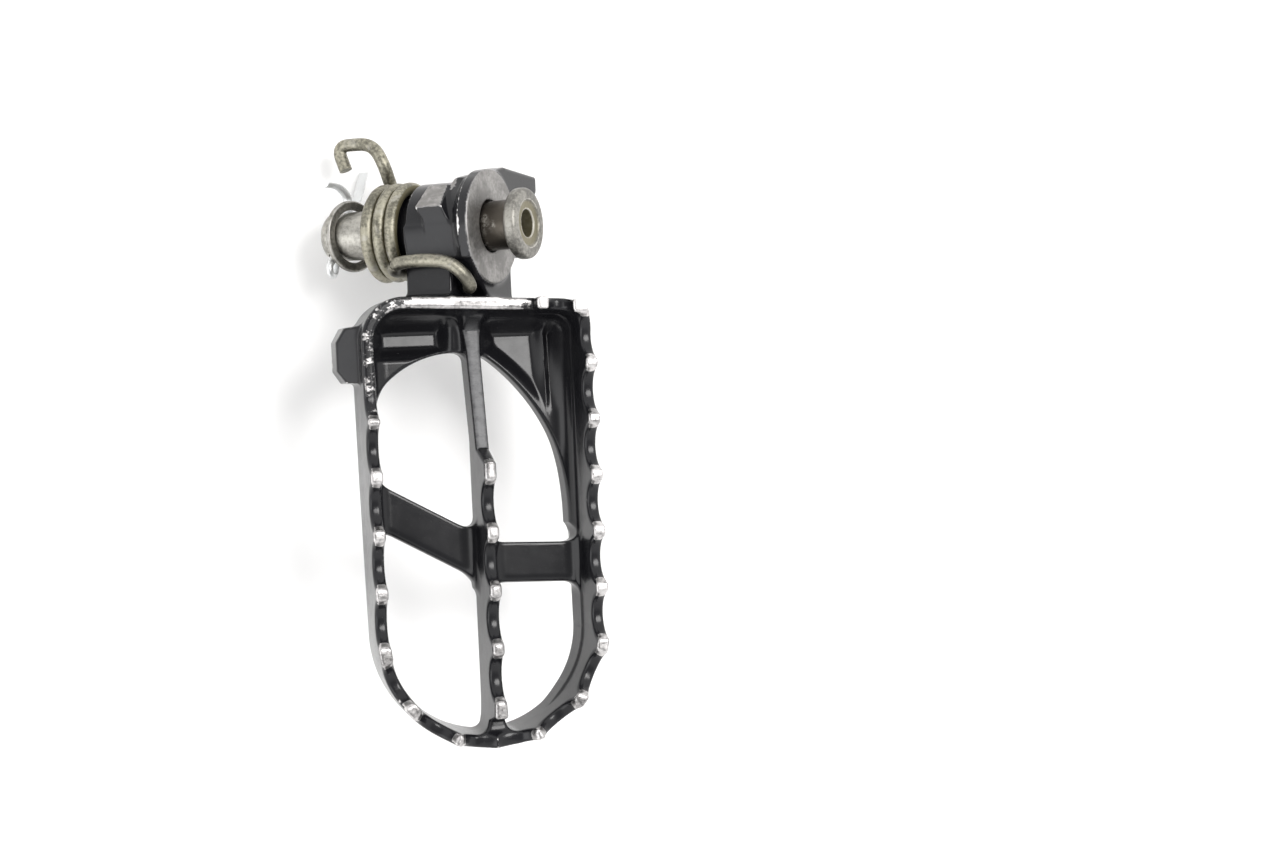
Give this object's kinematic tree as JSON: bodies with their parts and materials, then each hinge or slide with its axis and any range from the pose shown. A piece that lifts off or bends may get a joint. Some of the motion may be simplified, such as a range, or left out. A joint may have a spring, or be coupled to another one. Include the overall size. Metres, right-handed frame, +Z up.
{
  "type": "foot peg",
  "caption": "Folding off-road foot peg: toothed oval cast tread with hinge knuckle, headed pivot pin, torsion return spring, washer and split pin.",
  "frame": {"origin": "on the pivot axis, in the middle of the hinge knuckle", "axes": "+Z up from the tread (the teeth point up), -Y out along the peg to its tip, +X towards the headed end of the pivot pin; the pivot axis lies in the XZ plane, 40 degrees up from +X"},
  "size_m": [0.0512, 0.1256, 0.0423],
  "materials": {
    "black_paint": "satin black paint worn to bright steel on the tooth tops and rim, bare ground side face",
    "pin_steel": "dull plated steel, darkened in the recesses",
    "spring_steel": "dull plated spring wire with olive-brown staining between the coils",
    "dark_steel": "dark grey plated steel",
    "zinc": "bright zinc"
  },
  "bodies": {
    "pin": {"pivot_pin": "pin_steel", "split_pin": "zinc"},
    "peg": {"peg_casting": "black_paint", "return_spring": "spring_steel"},
    "washer": {"washer": "dark_steel"}
  },
  "joints": [
    {"name": "peg_fold", "type": "hinge", "parent": "pin", "child": "peg", "pos_m": [0, 0, 0], "axis": [-0.766, 0, -0.6428], "range_deg": [0, 85], "stiffness_Nm_per_rad": 0.3, "springref_deg": -29.79, "deforming": ["return_spring"]},
    {"name": "washer_turn", "type": "hinge", "parent": "pin", "child": "washer", "pos_m": [-0.01904, 0, -0.01597], "axis": [0.5592, 0, 0.829], "continuous": true}
  ]
}
